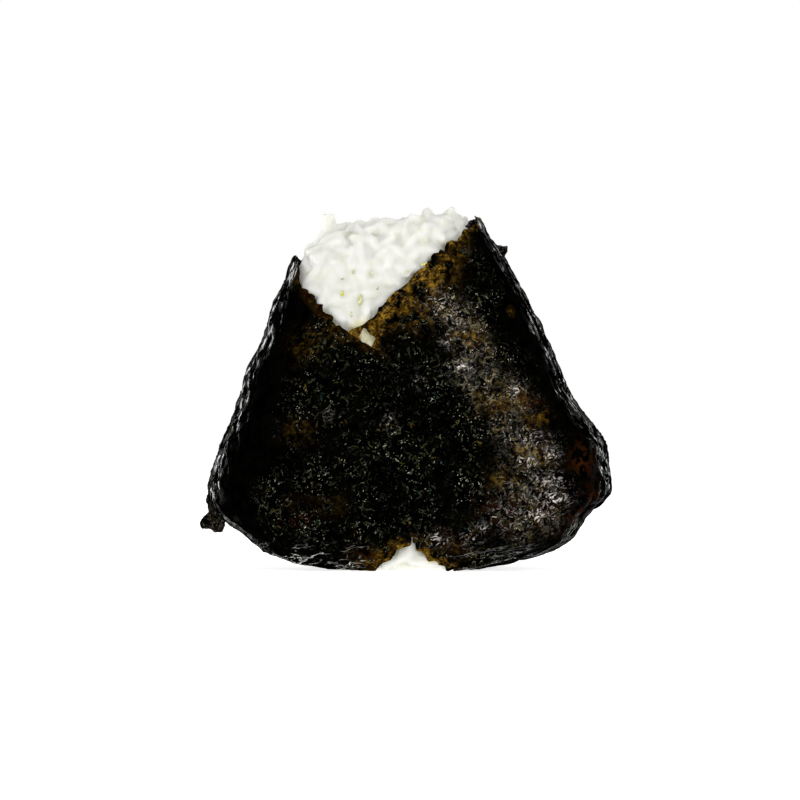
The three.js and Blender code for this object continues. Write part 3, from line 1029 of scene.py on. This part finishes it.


# The nori's colours: its ground, what shows through it, and the flakes, flecks and creases on it. The
# olive-brown haze and the paler flakes and flecks of the band down the right are painted sheen, the pale
# flecks are partly painted highlights, and the white shards and the pale lines along the creases are painted
# highlights.
NORI_BLACK = (0.0001, 0.0001, 0.0001)
NORI_SOFT_BLACK = (0.0007, 0.0008, 0.0005)
# Painted sheen: the haze laid over the black in the band down the right.
PAINTED_SHEEN_OLIVE = (0.048, 0.046, 0.031)
PAINTED_SHEEN_BROWN = (0.050, 0.033, 0.008)
AMBER_DARK = (0.026, 0.009, 0.001)
AMBER_BRIGHT = (0.26, 0.145, 0.014)
RUST = (0.040, 0.012, 0.002)
FLAKE_GREEN = (0.028, 0.034, 0.014)
FLAKE_GREY = (0.050, 0.050, 0.037)
FLAKE_GOLD = (0.058, 0.042, 0.008)
FLAKE_TEAL = (0.008, 0.026, 0.020)
# The next colour is for flakes in the band of painted sheen.
FLAKE_IN_PAINTED_SHEEN = (0.165, 0.138, 0.068)
FLAKE_AMBER = (0.27, 0.17, 0.035)
# Fleck colours: pale fibre with painted highlights, paler in the band of painted sheen and golden in the
# amber.
FLECK_PALE_HIGHLIGHT = (0.60, 0.61, 0.46)
FLECK_SHEEN_HIGHLIGHT = (0.70, 0.64, 0.52)
FLECK_AMBER_HIGHLIGHT = (0.62, 0.48, 0.20)
# Painted highlights where the sheet glints.
PAINTED_GLINT_WHITE = (0.74, 0.66, 0.61)
# Painted streak highlights near the slopes' outline.
SLOPE_STREAK_HIGHLIGHT = (0.34, 0.35, 0.31)
# Painted streak highlights round the foot.
FOOT_STREAK_HIGHLIGHT = (0.62, 0.63, 0.58)
SHEET_MASKS = ("edge", "grain", "amber", "rust", "painted_sheen", "glint", "fibrous", "sleek", "rim_streak_highlight", "low")


def ground_and_painted_sheen(tree, place, bent, painted_sheen):
    """Near black, with a broken olive-brown haze of painted sheen in a band down the right of the front."""
    base = mix_colour(tree, blotches(tree, place, 0.42, 4.0, 0.6, 0.4, 0.62), NORI_BLACK, NORI_SOFT_BLACK)
    haze = mix_colour(tree, blotches(tree, place, 0.26, 3.0, 0.6, 0.46, 0.54), PAINTED_SHEEN_OLIVE, PAINTED_SHEEN_BROWN)
    broken = blotches(tree, bent, 0.8, 4.0, 0.65, 0.49, 0.66)
    return mix_colour(tree, times(tree, painted_sheen, broken), base, haze)


def golden_share(tree, bent, amber):
    """How golden the sheet is: amber in blotches, with sooty specks."""
    blotch = blotches(tree, bent, 0.36, 3.0, 0.6, 0.40, 0.55)
    soot = blotches(tree, bent, 1.2, 2.0, 0.6, 0.56, 0.44, 0.25, 1.0)
    return times(tree, times(tree, amber, blotch), soot)


def thin_places(tree, bent, golden, rust, base):
    """Amber and rust where the sheet is thin."""
    gold = mix_colour(tree, blotches(tree, bent, 0.8, 4.0, 0.65, 0.38, 0.66), AMBER_DARK, AMBER_BRIGHT)
    tan = blotches(tree, turned(tree, bent, (0, 0, 0), (2.2, 2.2, 2.2)), 1.0, 3.0, 0.65, 0.48, 0.58)
    return painted(tree, base, ((golden, gold), (times(tree, rust, tan), RUST)))


def flake_colour(tree, place, bent, painted_sheen, golden):
    """Green, grey, gold and teal flakes, paler brown where sheen is painted and golden in the amber."""
    return painted(tree, FLAKE_GREEN, (
        (blotches(tree, place, 0.55, 3.0, 0.5, 0.42, 0.6), FLAKE_GREY),
        (blotches(tree, place, 0.3, 3.0, 0.5, 0.55, 0.68), FLAKE_GOLD),
        (blotches(tree, bent, 0.24, 2.0, 0.5, 0.60, 0.70), FLAKE_TEAL),
        (painted_sheen, FLAKE_IN_PAINTED_SHEEN),
        (golden, FLAKE_AMBER),
    ))


def fleck_and_highlight_share(tree, fibres, bent, golden):
    """Fine pale flecks in clusters, partly fibre and partly painted highlights, fewer in the amber."""
    flecks = fibre_node(tree, fibres, turned(tree, bent, (0.7, 0.5, 1.1), (1.0, 1.0, 1.0)), 1.75, 0.86)
    clusters = blotches(tree, bent, 0.38, 4.0, 0.65, 0.44, 0.60, 0.04, 1.0)
    return times(tree, times(tree, flecks, clusters), ramp_node(tree, golden, 0.0, 0.5, 1.0, 0.35))


def painted_glint_share(tree, fibres, bent, glint):
    """Painted white highlights in little strokes where the sheet glints, closing to a crust where it glints
    most.
    """
    shards = fibre_node(tree, fibres, turned(tree, bent, (0.3, 0.9, 0.4), (1.0, 1.4, 1.4)), 1.15, 0.15)
    crusts = times(tree, blotches(tree, bent, 1.3, 3.0, 0.65, 0.55, 0.60), ramp_node(tree, glint, 0.6, 0.95))
    return math_node(tree, "MULTIPLY", most(tree, shards, crusts), glint, clamp=True)


def wet_coat(tree, bent, flat, masks):
    """A wet coat in patches on the slopes and where the sheet glints."""
    film = blotches(tree, bent, 0.5, 5.0, 0.7, 0.42, 0.6)
    gloss = blotches(tree, turned(tree, flat, (0, 0, 0.1), (1.3, 4.0, 1.0)), 1.0, 4.0, 0.65, 0.50, 0.60)
    wet = times(tree, times(tree, masks["glint"], 0.35), film)
    return most(tree, wet, times(tree, gloss, masks["sleek"]))


def sheet_grit(tree, bent, flat, flakes, masks):
    """Fine relief: flakes, grit, pressed grains and the creases of the slopes, falling off at the edge."""
    depth = plus(tree, 0.4, most(tree, masks["painted_sheen"], masks["glint"]))
    height = plus(tree, times(tree, flakes, 0.5), times(tree, noise_node(tree, bent, 1.15, 3.0, 0.65), depth))
    height = plus(tree, height, times(tree, masks["grain"], 0.2))
    creases = noise_node(tree, turned(tree, flat, (0, 0, 0.1), (0.7, 2.6, 1.0)), 1.0, 4.0, 0.65)
    height = plus(tree, height, times(tree, creases, times(tree, masks["sleek"], 2.5)))
    return math_node(tree, "SUBTRACT", height, ramp_node(tree, masks["edge"], 0.5, 0.0, 0.0, 0.3))


def nori_finish(fibres):
    finish, tree, shader = new_finish("toasted_nori")
    place = object_millimetres(tree)
    bent = warped(tree, place, 0.7, 1.6)
    masks = {name: attribute_node(tree, name) for name in SHEET_MASKS}
    painted_sheen = masks["painted_sheen"]
    spread = new_node(tree, "CombineXYZ", {0: attribute_node(tree, "arc"), 1: attribute_node(tree, "rise")})
    flat = warped(tree, spread, 0.3, 2.0)

    golden = golden_share(tree, bent, masks["amber"])
    base = thin_places(tree, bent, golden, masks["rust"], ground_and_painted_sheen(tree, place, bent, painted_sheen))
    field = blotches(tree, place, 0.15, 4.0, 0.65, 0.42, 0.60, 0.1, 1.0)
    amount = most(tree, most(tree, times(tree, field, masks["fibrous"]), painted_sheen), golden)
    flakes = fibre_node(tree, fibres, bent, 0.72, 0.4)
    fleck_and_highlight_hue = painted(tree, FLECK_PALE_HIGHLIGHT, ((painted_sheen, FLECK_SHEEN_HIGHLIGHT), (golden, FLECK_AMBER_HIGHLIGHT)))
    base = painted(tree, base, (
        (times(tree, flakes, amount), flake_colour(tree, place, bent, painted_sheen, golden)),
        (times(tree, fleck_and_highlight_share(tree, fibres, bent, golden), amount), fleck_and_highlight_hue),
        (painted_glint_share(tree, fibres, bent, masks["glint"]), PAINTED_GLINT_WHITE),
        (times(tree, crease_lines(tree, flat, 0.12, (0.9, 4.5, 1.0)), masks["rim_streak_highlight"]), SLOPE_STREAK_HIGHLIGHT),
        (times(tree, crease_lines(tree, flat, 0.3, (5.0, 0.9, 1.0)), masks["low"]), FOOT_STREAK_HIGHLIGHT),
    ))
    rough = blotches(tree, place, 0.35, 4.0, 0.6, 0.35, 0.65, 0.5, 0.36)
    feed(tree, shader, {
        "Base Color": base,
        "Roughness": math_node(tree, "SUBTRACT", rough, times(tree, masks["sleek"], 0.1)),
        "Specular IOR Level": 0.0,
        "Coat Weight": wet_coat(tree, bent, flat, masks),
        "Coat Roughness": 0.16,
        "Normal": bump_node(tree, sheet_grit(tree, bent, flat, flakes, masks), 0.7, 0.13),
    })
    return finish


RICE_SHADE = (0.69, 0.69, 0.64)
RICE_WHITE = (0.715, 0.715, 0.675)
RICE_CREAM = (0.69, 0.68, 0.58)
# The rice is yellower round the tear in the sheet.
RICE_YELLOWED_BY_TEAR = (0.76, 0.71, 0.47)
TEAR_TINT_MIDDLE = (TEAR[0][0] + 2.5 + MIDDLE_X, -HALF_DEPTH + 4.0, TEAR[0][1] - 1.5)


def rice_finish():
    finish, tree, shader = new_finish("cooked_rice")
    place = object_millimetres(tree)
    away = new_node(tree, "VectorMath", {0: place, 1: TEAR_TINT_MIDDLE}, "Value", operation="DISTANCE")
    base = painted(tree, RICE_SHADE, (
        (blotches(tree, place, 0.22, 2.0, 0.5, 0.4, 0.6), RICE_WHITE),
        (blotches(tree, place, 0.35, 3.0, 0.5, 0.5, 0.78), RICE_CREAM),
        (ramp_node(tree, away, 5.5, 3.0), RICE_YELLOWED_BY_TEAR),
    ))
    feed(tree, shader, {
        "Base Color": base,
        "Roughness": blotches(tree, place, 1.4, 2.0, 0.5, 0.35, 0.65, 0.32, 0.5),
        "Specular IOR Level": 0.3,
        "Subsurface Weight": 1.0,
        "Subsurface Radius": (1.0, 1.0, 0.9),
        "Subsurface Scale": 4.0 * MM,
        "Normal": bump_node(tree, noise_node(tree, place, 1.2, 3.0, 0.5), 0.2, 0.1),
    })
    return finish


CRUMB_DARK = (0.36, 0.34, 0.22)
CRUMB_OCHRE = (0.50, 0.47, 0.20)
CRUMB_YELLOW = (0.52, 0.50, 0.02)
CRUMB_PALE = (0.68, 0.66, 0.45)


def crumb_finish():
    finish, tree, shader = new_finish("bran_crumb")
    place = object_millimetres(tree)
    tone = attribute_node(tree, "tone")
    base = painted(tree, CRUMB_DARK, (
        (ramp_node(tree, tone, 0.3, 0.6), CRUMB_OCHRE),
        (ramp_node(tree, tone, 0.6, 1.0), CRUMB_YELLOW),
        (blotches(tree, place, 2.2, 3.0, 0.5, 0.4, 0.62), CRUMB_PALE),
    ))
    feed(tree, shader, {
        "Base Color": base,
        "Roughness": blotches(tree, place, 2.0, 2.0, 0.5, 0.35, 0.65, 0.4, 0.6),
        "Normal": bump_node(tree, noise_node(tree, place, 3.0, 3.0, 0.5), 0.4, 0.1),
    })
    return finish


WHITE = (1.0, 1.0, 1.0)
PALE_PAPER = {"Base Color": (0.93, 0.93, 0.92), "Roughness": 0.9, "Emission Color": WHITE,
              "Emission Strength": 0.78}


def paper_white():
    finish, tree, shader = new_finish("pale_floor")
    feed(tree, shader, PALE_PAPER)
    return finish


# --- the studio


def pale_floor():
    mesh = bmesh.new()
    bmesh.ops.create_grid(mesh, x_segments=1, y_segments=1, size=2.5)
    floor = in_scene("floor", mesh_data("floor", mesh))
    floor.data.materials.append(paper_white())
    floor.visible_glossy = False


def soft_light(name, spot, size, power):
    """A soft box that faces the onigiri."""
    data = bpy.data.lights.new(name, "AREA")
    data.shape = "RECTANGLE"
    data.size, data.size_y = size
    data.energy = power
    light = in_scene(name, data)
    light.location = spot
    light.rotation_euler = (Vector(LIGHT_AIM) - Vector(spot)).to_track_quat("-Z", "Y").to_euler()
    light.visible_camera = False


# How far back the room turns from dark to white, and how bright each is.
ROOM_GLOW = (-0.5, 0.5, 0.15, 0.34)


def studio_world():
    """White paper round the back and sides, a dark room behind the camera, pale to the camera."""
    world = bpy.data.worlds.new("studio")
    world.use_nodes = True
    bpy.context.scene.world = world
    tree = world.node_tree
    tree.nodes.clear()
    output = tree.nodes.new("ShaderNodeOutputWorld")
    direction = new_node(tree, "TexCoord", {}, "Generated")
    backward = new_node(tree, "SeparateXYZ", {0: direction}, "Y")
    lit = new_node(tree, "Background", {"Color": WHITE, "Strength": ramp_node(tree, backward, *ROOM_GLOW)})
    seen = new_node(tree, "Background", {"Color": WHITE, "Strength": 1.0})
    to_camera = new_node(tree, "LightPath", {}, "Is Camera Ray")
    both = new_node(tree, "MixShader", {0: to_camera, 1: lit, 2: seen})
    tree.links.new(both, output.inputs["Surface"])


LENS = 150.0
SENSOR = 36.0
FRAME_WIDTH = 0.176
VIEW_X = -1.98
VIEW_Z = 37.1


def camera():
    data = bpy.data.cameras.new("camera")
    data.lens = LENS
    data.sensor_width = SENSOR
    distance = FRAME_WIDTH * LENS / SENSOR
    eye = in_scene("camera", data)
    eye.location = ((VIEW_X + MIDDLE_X) * MM, -distance, VIEW_Z * MM)
    eye.rotation_euler = (math.pi / 2, 0, 0)
    data.clip_start = 0.01
    bpy.context.scene.camera = eye


LIGHT_AIM = (0, 0, 0.04)
SOFT_BOXES = (
    ("key_box", (-0.14, -0.40, 0.62), (0.5, 0.4), 2.9),
    ("top_box", (0.0, 0.12, 0.75), (0.7, 0.5), 0.65),
    ("sheen_box", (0.33, -0.58, 0.15), (0.09, 0.25), 1.1),
    ("left_rim_box", (-0.52, 0.34, 0.15), (0.12, 0.5), 1.5),
    ("right_rim_box", (0.52, 0.34, 0.15), (0.12, 0.5), 1.5),
)


def studio():
    pale_floor()
    studio_world()
    for name, spot, size, power in SOFT_BOXES:
        soft_light(name, spot, size, power)
    camera()
    bpy.context.scene.view_settings.view_transform = "Standard"


# --- build


def build():
    rice = rice_finish()
    nori = nori_finish(fibre_group())
    rice_core(rice)
    rice_blocks(rice)
    rice_crumbs(crumb_finish())
    nori_sheet(nori)
    nori_scraps(nori)
    studio()


build()
